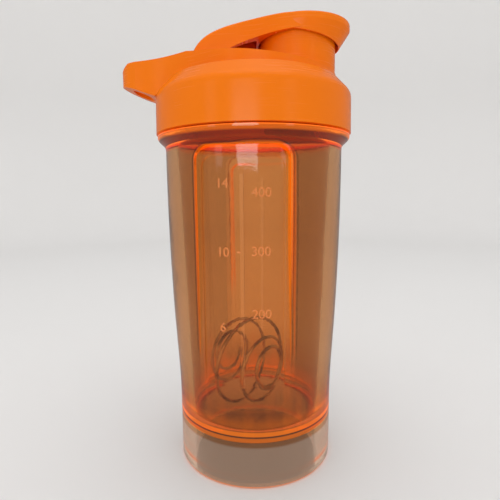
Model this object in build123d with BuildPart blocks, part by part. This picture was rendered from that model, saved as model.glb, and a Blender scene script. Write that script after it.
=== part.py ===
"""Protein shaker bottle: clear cup, screw lid with carry loop and spout, flip cap, seals and wire whisk ball.

Frame: millimetres, +Z up. The origin is the centre of the cup's bottom rim, on the surface it stands on.
+X points from the bottle's axis to the drinking spout, and -X to the carry loop.
"""
import os
from math import cos, pi, radians, sin, sqrt, tan

from build123d import *

# ---------------------------------------------------------------- driving dimensions (mm, degrees)
# cup
foot_wall = 6.6               # at the hollow foot, and at the drinking floor
waist_height = 30.0           # the foot stays upright to this height
body_radius = 42.1            # outside, just below the shoulder
body_height = 151.0           # where the shoulder starts
swell_height = 62.0           # where the side leans out the most
swell_share = 0.37            # share of the widening reached at swell_height
foot_inset = 3.9              # the foot is this much narrower than the body
shoulder_overhang = 3.6       # shoulder beyond the body, flush with the lid
shoulder_height = 6.6
neck_inset = 0.7              # threaded neck inside the body's outline
neck_wall = 3.9
neck_height = 13.9            # shoulder to lip
floor_height = 23.0           # drinking floor, above the table
floor_thickness = 3.2
foot_round = 1.2
inner_round = 4.0

# windows, one on each side, and the rib down the middle of each
window_azimuth = -8.0         # how far the windows stand turned from the lid's side
window_depth = 2.7            # recessed panel, inside the body's outline below the shoulder
window_width = 40.0
window_top_gap = 0.2          # below the shoulder
window_bottom = 34.0
window_corner = 6.0
panel_step = 0.6              # second, shallower step inside the frame
panel_inset = 2.6
panel_top_inset = 4.4
rib_width = 1.8
rib_rise = 0.8                # above the inner panel
rib_bottom = 48.0
rib_top_gap = 12.0            # below the window's top

# thread
thread_lead = 6.0
thread_top_gap = 3.8          # neck's ridge ends below the lip
lid_thread_end_gap = 1.75     # lid's ridge ends below the gasket
thread_depth = 1.4
thread_root = 2.6             # width along the axis at its foot
thread_crest = 1.2
thread_start_gap = 3.2        # above the shoulder
thread_play = 0.5

# lid
lid_wall = 2.85
lid_thread_play = 0.6         # between the neck's ridge and the lid's wall
lid_gap = 0.8                 # lid's lower edge above the shoulder
skirt_over_seat = 0.25        # straight part ends above the gasket's seat
shoulder_rise = 3.4
shoulder_inset = 1.5
cone_rise = 5.4
cone_inset = 5.15             # deck's edge inside the shoulder's top
deck_crown = 0.6
deck_thickness = 2.8
plug_wall = 1.8
plug_length = 9.1             # of the inner collar, below the gasket's seat
plug_play = 0.7

# gasket between the lid and the cup's lip
gasket_thickness = 1.95
gasket_side_play = 0.2
gasket_face_play = 0.05

# saddle on the lid that carries the hinge and runs out into the carry loop
saddle_inset = 11.4           # saddle's round side inside the skirt
saddle_centre = 4.1
saddle_join_share = 0.58      # of its radius, where the round side turns into the loop
saddle_rise = 1.8             # above the deck, beside the spout
saddle_tilt_rise = 9.6        # above the deck, at the hinge
saddle_mid_rise = 5.3         # above the deck, on the axis
saddle_back = 4.5             # saddle's highest line behind the hinge
loop_overhang = 15.65         # end of the carry loop beyond the skirt
loop_half_width = 11.2
loop_droop = 4.5              # degrees, top face from the hinge outwards
loop_end_height = 7.6
loop_corner = 4.5
loop_root_gap = 1.4           # loop's root above the straight skirt
slot_length = 8.6             # along X
slot_width = 13.6
slot_wall = 5.2               # between the slot and the loop's end

# spout
spout_edge_gap = 0.8          # between the spout's outside and the deck's edge
spout_radius = 17.6
spout_wall = 2.6
spout_height = 22.0           # above the deck
spout_flare = 4.2
spout_lip_round = 0.8

# flip cap
arm_length = 28.2             # pivot to the spout's near side
hinge_rise = 7.4              # pivot, above the deck
knuckle_radius = 4.4
knuckle_play = 0.5
trunnion_radius = 2.5
trunnion_length = 2.0
trunnion_play = 0.1
arm_half_width = 12.0
arm_play = 0.35               # between the arm and the cheeks, each side
arm_lean = 9.0                # height of the arm's side at mid length
cap_top_rise = 3.6            # above the spout's lip
cap_rim = 3.0                 # upright face of the cap's edge
cap_lip_overhang = 6.6        # thumb lip beyond the spout
cap_back_overhang = 2.0
cap_side_overhang = 3.0
cap_skirt_overhang = 2.3
cap_skirt_drop = 3.7          # below the spout's lip, at the spout's axis
cap_skirt_tilt = 9.0          # degrees, lower edge falls towards the thumb lip
cap_bore_play = 0.4
cap_bore_flare = 1.5          # wider at the lower edge, for the swing
cap_crown_round = 1.2
cap_wall = 2.6                # around the arm's hollow underside
opening_angle = 105.0         # of the flip cap, for the notch behind the hinge
opening_spare = 4.0

# seal in the flip cap
seal_flange = 1.4
seal_plug_depth = 2.0
seal_plug_taper = 1.3
seal_play = 0.15
seal_wall = 1.8

# whisk ball
ball_radius = 23.0            # outside
ball_half_length = 16.5       # outside, along the coil's axis
ball_turns = 5.0
ball_end_angle = 24.0         # degrees from the pole where the wire starts
ball_dwell = 0.85             # how much the end turns close up on themselves, 0 to 1
ball_offset = -3.0            # ball's centre, along X
ball_wire = 1.7
ball_azimuth = 42.0           # coil's axis, turned from +X towards -Y
ball_points_per_turn = 10
ball_floor_gap = 0.1

# ---------------------------------------------------------------- derived places
foot_radius = body_radius - foot_inset
floor_inner_radius = foot_radius - foot_wall
rim_height = body_height + shoulder_height
rim_radius = body_radius + shoulder_overhang
neck_radius = body_radius - neck_inset
mouth_radius = neck_radius - neck_wall
window_floor_radius = body_radius - window_depth
lip_height = rim_height + neck_height
foot_ceiling = floor_height - floor_thickness
neck_thread_start = rim_height + thread_start_gap
lid_thread_start = neck_thread_start + thread_lead / 2
neck_thread_turns = (neck_height - thread_start_gap - thread_top_gap) / thread_lead
lid_bottom = rim_height + lid_gap
lid_inner_radius = neck_radius + thread_depth + lid_thread_play
lid_radius = lid_inner_radius + lid_wall
gasket_bottom = lip_height + gasket_face_play
gasket_top = gasket_bottom + gasket_thickness
gasket_seat = gasket_top + gasket_face_play
lid_thread_turns = (gasket_bottom - lid_thread_end_gap - lid_thread_start) / thread_lead
plug_radius = mouth_radius - plug_play
skirt_top = gasket_seat + skirt_over_seat
shoulder_radius = lid_radius - shoulder_inset
deck_radius = shoulder_radius - cone_inset
saddle_radius = lid_radius - saddle_inset
spout_offset = deck_radius - spout_edge_gap - spout_radius
loop_reach = lid_radius + loop_overhang
shoulder_top = skirt_top + shoulder_rise
deck = shoulder_top + cone_rise
spout_lip = deck + spout_height
pivot_x = spout_offset - spout_radius - arm_length
pivot_z = deck + hinge_rise
recess_half_width = arm_half_width + arm_play
cap_reach = spout_radius + cap_lip_overhang
cap_back_reach = spout_radius + cap_back_overhang
cap_half_width = spout_radius + cap_side_overhang
cap_skirt_radius = spout_radius + cap_skirt_overhang
window_top = body_height - window_top_gap
inner_slope = (mouth_radius - floor_inner_radius) / (lip_height - floor_height)


def swung(point, angle):
    """Place of a point of the XZ plane after the flip cap has opened by angle degrees."""
    a = radians(angle)
    across, up = point.X - pivot_x, point.Y - pivot_z
    return (pivot_x + across * cos(a) - up * sin(a), pivot_z + across * sin(a) + up * cos(a))


def helix_ridge(radius, start, turns, depth, outward):
    """Trapezoid ridge along a right-hand helix. It stands outward or inward from radius."""
    side = 1 if outward else -1
    root = radius - side * 0.4
    crest = radius + side * depth
    with BuildPart() as ridge:
        with BuildLine() as path:
            Helix(pitch=thread_lead, height=turns * thread_lead, radius=radius, center=(0, 0, start))
        with BuildSketch(Plane(origin=(0, 0, start), x_dir=(1, 0, 0), z_dir=(0, -1, 0))):
            with BuildLine():
                Polyline(
                    (root, -thread_root / 2), (crest, -thread_crest / 2),
                    (crest, thread_crest / 2), (root, thread_root / 2), close=True)
            make_face()
        sweep(path=path.wires()[0], is_frenet=True)
    return ridge.part


# ---------------------------------------------------------------- cup
swell_radius = foot_radius + swell_share * (body_radius - foot_radius)

with BuildPart() as window_tool:
    with BuildSketch(Plane.XZ):
        with Locations((0, (window_top + window_bottom) / 2)):
            RectangleRounded(window_width, window_top - window_bottom, window_corner)
    extrude(amount=2 * body_radius)
    Cylinder(window_floor_radius, 3 * body_height, mode=Mode.SUBTRACT)

with BuildPart() as panel_tool:
    with BuildSketch(Plane.XZ):
        with Locations((0, (window_top - panel_top_inset + window_bottom + panel_inset) / 2)):
            RectangleRounded(
                window_width - 2 * panel_inset,
                window_top - panel_top_inset - window_bottom - panel_inset, window_corner - panel_inset / 2)
    extrude(amount=2 * body_radius)
    Cylinder(window_floor_radius - panel_step, 3 * body_height, mode=Mode.SUBTRACT)

with BuildPart() as cup:
    with BuildSketch(Plane.XZ):
        with BuildLine():
            foot = Line((floor_inner_radius, 0), (foot_radius - foot_round, 0))
            edge = RadiusArc(foot @ 1, (foot_radius, foot_round), -foot_round)
            upright = Line(edge @ 1, (foot_radius, waist_height))
            side = Spline(
                upright @ 1, (swell_radius, swell_height), (body_radius, body_height),
                tangents=((0, 1), (0, 1)))
            shoulder = Spline(side @ 1, (rim_radius, rim_height - 1), tangents=((0, 1), (0.25, 1)))
            rim = Line(shoulder @ 1, (rim_radius, rim_height))
            step = Line(rim @ 1, (neck_radius, rim_height))
            neck = Line(step @ 1, (neck_radius, lip_height))
            lip = Line(neck @ 1, (mouth_radius, lip_height))
            inside = Line(
                lip @ 1, (floor_inner_radius + inner_slope * inner_round, floor_height + inner_round))
            corner = RadiusArc(inside @ 1, (floor_inner_radius - inner_round, floor_height), inner_round)
            floor_top = Line(corner @ 1, (0, floor_height))
            core = Line(floor_top @ 1, (0, foot_ceiling))
            ceiling = Line(core @ 1, (floor_inner_radius, foot_ceiling))
            Line(ceiling @ 1, foot @ 0)
        make_face()
    revolve(axis=Axis.Z)
    for turn in (window_azimuth, window_azimuth + 180):
        add(window_tool.part, rotation=(0, 0, turn), mode=Mode.SUBTRACT)
        add(panel_tool.part, rotation=(0, 0, turn), mode=Mode.SUBTRACT)
    rib_face = window_floor_radius - panel_step + rib_rise
    rib_root = floor_inner_radius + inner_slope * (window_top - floor_height) + 1
    for turn in (window_azimuth, window_azimuth + 180):
        with BuildSketch(Plane(origin=(0, 0, rib_bottom), x_dir=(cos(radians(turn)), sin(radians(turn)), 0))):
            with Locations((0, -(rib_face + rib_root) / 2)):
                Rectangle(rib_width, rib_face - rib_root)
        extrude(amount=window_top - rib_top_gap - rib_bottom)
    add(helix_ridge(
        neck_radius, neck_thread_start, neck_thread_turns, thread_depth - thread_play, True))
cup.part.label = "cup"

# ---------------------------------------------------------------- lid gasket
with BuildPart() as lid_gasket:
    with BuildSketch(Plane.XY.offset(gasket_bottom)):
        Circle(lid_inner_radius - gasket_side_play)
        Circle(plug_radius + gasket_side_play, mode=Mode.SUBTRACT)
    extrude(amount=gasket_thickness)
lid_gasket.part.label = "lid_gasket"

# ---------------------------------------------------------------- back of the flip cap's arm
cap_top = spout_lip + cap_top_rise
arm_rise = cap_top - pivot_z
arm_heel = (pivot_x - 3.0, pivot_z + 3.2)

with BuildLine() as arm_back:
    Spline(
        arm_heel, (pivot_x + 10.3, pivot_z + 0.80 * arm_rise), (spout_offset - 8, cap_top),
        tangents=((0.35, 1), (1, 0.02)))

# ---------------------------------------------------------------- lid
hinge_top = deck + saddle_tilt_rise
loop_top_end = hinge_top - (loop_reach + pivot_x) * tan(radians(loop_droop))
loop_bottom_end = loop_top_end - loop_end_height
loop_root_bottom = skirt_top + loop_root_gap

with BuildPart() as saddle:
    # outline from above: a round saddle that narrows to the loop
    join_x = saddle_centre - saddle_join_share * saddle_radius
    join_y = sqrt(saddle_radius ** 2 - (join_x - saddle_centre) ** 2)
    with BuildSketch(Plane.XY.offset(skirt_top)):
        with BuildLine():
            away = (saddle_centre + saddle_radius, 0)
            round_side = ThreePointArc(
                (join_x, -join_y), away, (join_x, join_y))
            upper = Spline(
                round_side @ 1, (-(lid_radius - 3), loop_half_width + 1.8),
                (-(loop_reach - loop_half_width + 3), loop_half_width),
                tangents=((-join_y, join_x - saddle_centre), (-1, -0.06)))
            end = ThreePointArc(upper @ 1, (-loop_reach, 0), ((upper @ 1).X, -(upper @ 1).Y))
            Spline(
                end @ 1, (-(lid_radius - 3), -(loop_half_width + 1.8)), round_side @ 0,
                tangents=((1, -0.06), (join_y, join_x - saddle_centre)))
        make_face()
    extrude(amount=3 * saddle_tilt_rise)
    # outline from the side
    with BuildSketch(Plane.XZ):
        with BuildLine():
            far = (saddle_centre + saddle_radius + 1, deck + saddle_rise)
            crest = ThreePointArc((pivot_x - saddle_back, hinge_top), (0, deck + saddle_mid_rise), far)
            drop = Line(crest @ 0, (-(loop_reach - loop_corner), loop_top_end + loop_corner * 0.2))
            nose = Line(drop @ 1, (-loop_reach - 1, loop_top_end - loop_corner * 0.55))
            tip = Line(nose @ 1, (-loop_reach - 1, loop_bottom_end))
            under = Line(tip @ 1, (-(lid_radius - lid_wall / 2), loop_root_bottom))
            keel = Line(under @ 1, (-deck_radius + 4, deck - deck_thickness / 2))
            base = Line(keel @ 1, (far[0], deck - deck_thickness / 2))
            Line(base @ 1, far)
        make_face()
    extrude(amount=2 * lid_radius, both=True, mode=Mode.INTERSECT)

with BuildPart() as lid:
    with BuildSketch(Plane.XZ):
        with BuildLine():
            hem = Line((lid_inner_radius, lid_bottom), (lid_radius, lid_bottom))
            skirt = Line(hem @ 1, (lid_radius - 0.25, skirt_top))
            bend = Spline(
                skirt @ 1, (shoulder_radius, shoulder_top),
                tangents=((0, 1), (-1, cone_rise / (shoulder_radius - deck_radius))))
            cone = Line(bend @ 1, (deck_radius, deck))
            top = Line(cone @ 1, (0, deck + deck_crown))
            middle = Line(top @ 1, (0, deck - deck_thickness))
            ceiling = Line(middle @ 1, (plug_radius - plug_wall, deck - deck_thickness))
            collar_in = Line(ceiling @ 1, (plug_radius - plug_wall, gasket_seat - plug_length))
            collar_end = Line(collar_in @ 1, (plug_radius, gasket_seat - plug_length))
            collar_out = Line(collar_end @ 1, (plug_radius, gasket_seat))
            seat = Line(collar_out @ 1, (lid_inner_radius, gasket_seat))
            Line(seat @ 1, hem @ 0)
        make_face()
    revolve(axis=Axis.Z)
    add(saddle.part)
    # spout with its flared root
    with BuildSketch(Plane.XZ):
        with BuildLine():
            inner = Line((spout_offset, deck - 1), (spout_offset, spout_lip))
            brim = Line(inner @ 1, (spout_offset + spout_radius - spout_lip_round, spout_lip))
            brim_round = RadiusArc(
                brim @ 1, (spout_offset + spout_radius, spout_lip - spout_lip_round), spout_lip_round)
            wall = Line(brim_round @ 1, (spout_offset + spout_radius, deck + spout_flare))
            flare = Spline(
                wall @ 1, (spout_offset + spout_radius + 0.6 * spout_flare, deck - 1),
                tangents=((0, -1), (0.8, -1)))
            Line(flare @ 1, inner @ 0)
        make_face()
    revolve(axis=Axis((spout_offset, 0, 0), (0, 0, 1)))
    with Locations((spout_offset, 0, deck)):
        Cylinder(spout_radius - spout_wall, 3 * spout_height, mode=Mode.SUBTRACT)
    # recess for the arm, and the notch that the open arm swings into
    with BuildSketch(Plane.XZ):
        with BuildLine():
            low = pivot_z - knuckle_radius - knuckle_play
            front = Line((spout_offset - spout_radius - 2.2, hinge_top + 12), (
                spout_offset - spout_radius - 2.2, deck + 2.4))
            floor_line = Line(front @ 1, (pivot_x, low))
            full_swing = opening_angle + opening_spare
            swung_back = [swung(arm_back.line @ share, full_swing) for share in (0.05, 0.15, 0.27, 0.4)]
            ramp = Spline(floor_line @ 1, *swung_back, tangents=((-1, 0), (-0.6, 1)))
            Polyline(ramp @ 1, (pivot_x, hinge_top + 12), front @ 0)
        make_face()
    extrude(amount=recess_half_width, both=True, mode=Mode.SUBTRACT)
    # sockets for the flip cap's trunnions
    with BuildSketch(Plane.XZ):
        with Locations((pivot_x, pivot_z)):
            Circle(trunnion_radius + trunnion_play)
    extrude(amount=recess_half_width + trunnion_length, both=True, mode=Mode.SUBTRACT)
    # slot of the carry loop
    with BuildSketch(Plane.XY):
        with Locations((-(loop_reach - slot_wall - slot_length / 2), 0)):
            RectangleRounded(slot_length, slot_width, 0.42 * slot_length)
    extrude(amount=2 * deck, mode=Mode.SUBTRACT)
    add(helix_ridge(
        lid_inner_radius, lid_thread_start, lid_thread_turns, thread_depth, False))
lid.part.label = "lid"

# ---------------------------------------------------------------- flip cap
cap_ceiling = spout_lip + seal_flange + gasket_face_play
rim_bottom = cap_top - cap_rim
skirt_centre = spout_lip - cap_skirt_drop
cap_centre = spout_offset + (cap_reach - cap_back_reach) / 2
cap_half_length = (cap_reach + cap_back_reach) / 2
tilt = radians(cap_skirt_tilt)
bore_top = spout_radius + cap_bore_play
bore_low = bore_top + cap_bore_flare

with BuildPart() as arm:
    with BuildSketch(Plane.XZ):
        with BuildLine():
            add(arm_back.line)
            ahead = Line(arm_back.line @ 1, (spout_offset, cap_top))
            down = Line(ahead @ 1, (spout_offset, skirt_centre + 1))
            belly = Spline(
                down @ 1, (pivot_x + 15, cap_top - arm_lean - 3.0), (pivot_x + 3.2, pivot_z - 2.8),
                tangents=((-1, -0.12), (-0.75, -1)))
            Line(belly @ 1, arm_heel)
        make_face()
    extrude(amount=cap_half_width, both=True)
    with BuildSketch(Plane.XY.offset(pivot_z - 2 * knuckle_radius)):
        with BuildLine():
            near = Line((pivot_x - 6, -arm_half_width), (pivot_x + 14, -arm_half_width))
            spread = Spline(
                near @ 1, (spout_offset, -cap_skirt_radius), tangents=((1, 0), (1, 0)))
            across = Line(spread @ 1, (spout_offset, cap_skirt_radius))
            gather = Spline(
                across @ 1, (pivot_x + 14, arm_half_width), tangents=((-1, 0), (-1, 0)))
            Polyline(gather @ 1, (pivot_x - 6, arm_half_width), near @ 0)
        make_face()
    extrude(amount=4 * arm_rise, mode=Mode.INTERSECT)
    fillet(arm.faces().filter_by(lambda f: f.normal_at().Z > 0.3).edges().filter_by(
        lambda e: abs(e.center().Y) > 0.9 * arm_half_width), cap_crown_round)

with BuildPart() as flip_cap:
    # flared head: a tilted lower edge that opens out to the upright rim
    head_plane = Plane(
        origin=(spout_offset, 0, skirt_centre), x_dir=(cos(tilt), 0, -sin(tilt)),
        z_dir=(sin(tilt), 0, cos(tilt)))
    with BuildSketch(head_plane):
        Circle(cap_skirt_radius - 0.3)
    with BuildSketch(Plane.XY.offset(rim_bottom)):
        with Locations((cap_centre, 0)):
            Ellipse(cap_half_length, cap_half_width)
    loft()
    with BuildSketch(Plane.XY.offset(rim_bottom)):
        with Locations((cap_centre, 0)):
            Ellipse(cap_half_length, cap_half_width)
    extrude(amount=cap_rim)
    fillet(flip_cap.faces().sort_by(Axis.Z)[-1].edges(), cap_crown_round)
    add(arm.part)
    with BuildSketch(Plane.XZ):
        with Locations((pivot_x, pivot_z)):
            Circle(knuckle_radius)
    extrude(amount=arm_half_width, both=True)
    with BuildSketch(Plane.XZ):
        with Locations((pivot_x, pivot_z)):
            Circle(trunnion_radius)
    extrude(amount=recess_half_width + trunnion_length - arm_play, both=True)
    # hollow underside of the arm
    with BuildSketch(Plane.XZ):
        Polygon(
            (pivot_x + 11.5, pivot_z), (pivot_x + 11.5, pivot_z + 0.80 * arm_rise - 2 * cap_wall),
            (pivot_x + 17, cap_top - 1.6 * cap_wall), (spout_offset - bore_low, cap_top - cap_wall),
            (spout_offset - bore_low, pivot_z), align=None)
    extrude(amount=arm_half_width - cap_wall, both=True, mode=Mode.SUBTRACT)
    # room for the spout, wider at the lower edge so that the cap swings clear of it
    with BuildSketch(Plane.XZ):
        with BuildLine():
            low_z = skirt_centre - 2 * cap_skirt_radius * tan(tilt)
            Polyline(
                (spout_offset, cap_ceiling), (spout_offset + bore_top, cap_ceiling),
                (spout_offset + bore_top, spout_lip - 0.3), (spout_offset + bore_low, low_z),
                (spout_offset, low_z), close=True)
        make_face()
    revolve(axis=Axis((spout_offset, 0, 0), (0, 0, 1)), mode=Mode.SUBTRACT)
flip_cap.part.label = "flip_cap"

# ---------------------------------------------------------------- spout seal
bore_radius = spout_radius - spout_wall
with BuildPart() as spout_seal:
    with BuildSketch(Plane.XZ):
        with BuildLine():
            disc_low = spout_lip + gasket_face_play
            plug_low = disc_low - seal_plug_depth
            rim_out = spout_offset + spout_radius - 0.3
            out_top = spout_offset + bore_radius - seal_play
            out_low = out_top - seal_plug_taper
            Polyline(
                (spout_offset, cap_ceiling), (rim_out, cap_ceiling), (rim_out, disc_low),
                (out_top, disc_low), (out_low, plug_low), (out_low - seal_wall, plug_low),
                (out_low - seal_wall, disc_low), (spout_offset, disc_low), close=True)
        make_face()
    revolve(axis=Axis((spout_offset, 0, 0), (0, 0, 1)))
spout_seal.part.label = "spout_seal"

# ---------------------------------------------------------------- whisk ball
ball_height = floor_height + ball_floor_gap + ball_radius
ball_facing = radians(ball_azimuth)


def ball_point(share):
    """Point of the wire's centre line: turns on an egg-shaped shell from one pole to the other."""
    eased = share - ball_dwell * sin(2 * pi * share) / (2 * pi)
    polar = radians(ball_end_angle + eased * (180 - 2 * ball_end_angle))
    spin = 2 * pi * ball_turns * share
    along = (ball_half_length - ball_wire / 2) * cos(polar)
    out = (ball_radius - ball_wire / 2) * sin(polar)
    level = out * cos(spin)
    return (
        ball_offset + along * cos(ball_facing) + level * sin(ball_facing),
        -along * sin(ball_facing) + level * cos(ball_facing),
        ball_height + out * sin(spin))


with BuildPart() as whisk_ball:
    with BuildLine() as wire_path:
        steps = round(ball_turns * ball_points_per_turn)
        Spline([ball_point(i / steps) for i in range(steps + 1)])
    with BuildSketch(Plane(origin=wire_path.line @ 0, z_dir=wire_path.line % 0)):
        Circle(ball_wire / 2)
    sweep()
whisk_ball.part.label = "whisk_ball"

# ---------------------------------------------------------------- files
os.makedirs("parts", exist_ok=True)
for piece in (cup, lid_gasket, lid, flip_cap, spout_seal, whisk_ball):
    export_step(piece.part, f"parts/{piece.part.label}.step")
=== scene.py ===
"""Looks of a shaker bottle: plastics, wire whisk ball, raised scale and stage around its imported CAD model.

Lengths are metres: +Z up, the origin is the centre of the cup's bottom rim, and +X points to the drinking spout.
Each operator makes or finishes one piece or one group of pieces.
"""
from math import cos, pi, radians, sin

import bmesh
import bpy
from bpy.props import FloatProperty, FloatVectorProperty, IntProperty, PointerProperty
from mathutils import Matrix, Vector


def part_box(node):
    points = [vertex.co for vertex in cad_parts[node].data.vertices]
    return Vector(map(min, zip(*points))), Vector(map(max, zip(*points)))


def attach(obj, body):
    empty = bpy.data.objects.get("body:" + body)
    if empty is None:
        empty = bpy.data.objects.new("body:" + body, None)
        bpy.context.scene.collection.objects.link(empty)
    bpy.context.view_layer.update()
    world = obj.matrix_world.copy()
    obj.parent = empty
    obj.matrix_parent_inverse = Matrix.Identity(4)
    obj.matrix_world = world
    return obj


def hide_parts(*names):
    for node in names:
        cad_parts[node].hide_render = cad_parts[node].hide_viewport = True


bl_info = {
    "name": "Shaker Bottle Looks",
    "version": (1, 0, 0),
    "blender": (4, 5, 0),
    "location": "View3D > Sidebar > Shaker",
    "description": "Plastics, wire whisk ball, raised scale and stage for a shaker bottle",
    "category": "Object",
}

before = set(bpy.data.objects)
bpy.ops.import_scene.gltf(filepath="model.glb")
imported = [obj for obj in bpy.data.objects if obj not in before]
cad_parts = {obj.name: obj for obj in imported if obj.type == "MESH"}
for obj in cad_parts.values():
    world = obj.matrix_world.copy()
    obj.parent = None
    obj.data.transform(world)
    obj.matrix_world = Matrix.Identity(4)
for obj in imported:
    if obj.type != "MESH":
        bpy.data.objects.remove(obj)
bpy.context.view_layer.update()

MM = 0.001
ball_low, ball_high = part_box("whisk_ball")

# places on the cup, from the axis or above the table
WINDOW_TURN = radians(-8)       # middle of the front window, turned from -Y
WINDOW_HALF_WIDTH = 20.0 * MM
WINDOW_BOTTOM = 34.0 * MM
WINDOW_TOP = 150.8 * MM
WINDOW_CORNER = 6.0 * MM
STEP_HALF_WIDTH = 17.4 * MM     # second, shallower step inside the frame
STEP_BOTTOM = 36.6 * MM
STEP_TOP = 146.4 * MM
STEP_CORNER = 4.7 * MM
RIB_HALF_WIDTH = 0.9 * MM
RIB_BOTTOM = 48.0 * MM
RIB_TOP = 138.8 * MM
PANEL_RADIUS = 38.8 * MM        # inner panel, where the scale stands
BODY_TOP = 151.0 * MM
FLOOR_LOW = 19.8 * MM
FLOOR_HIGH = 23.0 * MM
FLOOR_RING = 27.2 * MM          # the floor's lit ring starts here
FLOOR_RING_FULL = 30.0 * MM
FLOOR_DISC = 26.2 * MM          # clear middle of the floor
FLOOR_DISC_END = 28.0 * MM
OUTER_SKIN = 35.2 * MM          # from here out a surface is the outside of the low cup
OUTER_SKIN_START = 34.6 * MM
EDGE_START = 35.0 * MM          # bottom edge of the foot
EDGE_FULL = 36.6 * MM
RIM_START = 42.2 * MM           # outer rim of the shoulder
RIM_FULL = 43.0 * MM
RIB_FOOT = 38.9 * MM            # the rib stands out of the inner panel from here
RIB_FULL = 39.1 * MM

# light and shade painted on the clear plastic, and its tint
NO_LIGHT = (0.0, 0.0, 0.0, 1.0)
# light painted on the foot and the floor, given off as emission
FOOT_PAINTED_LIGHT = (0.092, 0.068, 0.050, 1.0)
FLOOR_PAINTED_LIGHT = (0.085, 0.062, 0.042, 1.0)
# glow painted on the cup's bottom edge
EDGE_PAINTED_GLOW = (0.42, 0.11, 0.03, 1.0)
# glow painted on the numerals: along their edges, and in their warm colour
MARK_EDGE_PAINTED_GLOW = (0.40, 0.16, 0.05, 1.0)
MARK_TINT_AND_GLOW = (0.80, 0.36, 0.16)
DISC_TINT = (0.92, 0.74, 0.58)
# highlight painted along the rib, over the rib's own tint
RIB_TINT_AND_HIGHLIGHT = (0.86, 0.66, 0.48, 1.0)
# shade painted in the dark line round the window
OUTLINE_PAINTED_SHADE = (0.30, 0.13, 0.03, 1.0)
# shade painted in the dark line above the floor
GAP_PAINTED_SHADE = (0.16, 0.06, 0.01, 1.0)
PLASTIC_IOR = 1.5

# drawn steel: a bright tone and a dark tone painted in as dark reflections
STEEL_BRIGHT = (0.80, 0.78, 0.75, 1.0)
STEEL_DARK_REFLECTION = (0.36, 0.33, 0.30, 1.0)

# raised scale: azimuth of each column from -Y, then each numeral with its height in millimetres
SCALE_COLUMNS = {
    "scale_ounces": (-22.8, (("14", 135.2), ("10", 106.7), ("6", 74.2))),
    "scale_millilitres": (-2.0, (("400", 131.4), ("300", 107.1), ("200", 80.4))),
}
TICK_HEIGHT = 106.7             # millimetres
TICK_TURN = 11.5                # degrees past the ounces column
TICK_WIDTH = 1.6 * MM
TICK_THICKNESS = 0.5 * MM
CAPITAL_SHARE = 0.73            # height of a numeral over the font's size
WRAP_STEP = 0.4 * MM            # facets of a numeral bent onto the cup

# stage: azimuth from -Y towards +X, height, distance, size and share of the front power of each soft box
SOFT_BOXES = (
    ("front_box", -9, 0.36, 1.30, (0.64, 0.26), 1.0),
    ("left_box", -47, 0.42, 1.30, (0.22, 0.40), 0.12),
    ("right_box", 40, 0.42, 1.30, (0.22, 0.40), 0.12),
    ("top_box", 10, 1.45, 0.25, (1.1, 1.1), 1.2),
)
AIM_HEIGHT = 0.13
GLOSS_DIMMING = 0.72            # how much of the sky mirrors don't see
BOWL_FLAT = 0.3                 # inner ring of the bowl's floor
BOWL_REACH = 1.5
BOWL_BEND = 0.5
BOWL_WALL = 1.5
BOWL_SIDES = 96
BEND_STEPS = 12
CAMERA_LENS = 30.46             # millimetres, on a sensor 36 mm wide
CAMERA_SENSOR = 36
CAMERA_PLACE = (-0.00215, -0.2117, 0.1299)
CAMERA_DOWN = 7.3               # degrees
CAMERA_ROLL = -0.48             # degrees


# ---------------------------------------------------------------- sizes and colours a user may change
class ShakerCup(bpy.types.PropertyGroup):
    tint: FloatVectorProperty(
        name="Tint", description="Colour of the clear plastic's surface", subtype="COLOR", size=3,
        min=0, max=1, default=(0.63, 0.40, 0.195))
    panel_tint: FloatVectorProperty(
        name="Panel Tint", description="Colour of the thinner plastic in the windows", subtype="COLOR", size=3,
        min=0, max=1, default=(0.82, 0.50, 0.235))
    low_tint: FloatVectorProperty(
        name="Low Wall Tint", description="Colour of the plastic close above the floor", subtype="COLOR",
        size=3, min=0, max=1, default=(0.53, 0.27, 0.09))
    foot_tint: FloatVectorProperty(
        name="Foot Tint", description="Colour of the hollow foot", subtype="COLOR", size=3,
        min=0, max=1, default=(0.42, 0.42, 0.41))
    # partly the plastic's tint, partly orange light from the lid painted into the shoulder and the neck
    shoulder_tint_and_light: FloatVectorProperty(
        name="Shoulder Tint", description="Colour of the shoulder and the neck", subtype="COLOR", size=3,
        min=0, max=1, default=(0.72, 0.27, 0.07))
    depth_colour: FloatVectorProperty(
        name="Depth Colour", description="Colour that thick plastic lets through", subtype="COLOR", size=3,
        min=0, max=1, default=(1.0, 0.55, 0.22))
    depth_density: FloatProperty(
        name="Depth Density", description="How fast thick plastic takes on its depth colour, per metre",
        min=0, default=40.0)
    # glow painted on the plastic's edges, as emission and in the base colour
    glow: FloatVectorProperty(
        name="Edge Glow", description="Colour that the plastic's edges pick up", subtype="COLOR", size=3,
        min=0, max=1, default=(0.86, 0.20, 0.003))


class ShakerLid(bpy.types.PropertyGroup):
    colour: FloatVectorProperty(
        name="Plastic", description="Colour of the lid and flip cap", subtype="COLOR", size=3,
        min=0, max=1, default=(0.93, 0.205, 0.003))
    seal: FloatVectorProperty(
        name="Seal", description="Colour of the gasket and spout seal", subtype="COLOR", size=3,
        min=0, max=1, default=(0.62, 0.60, 0.55))


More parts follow.
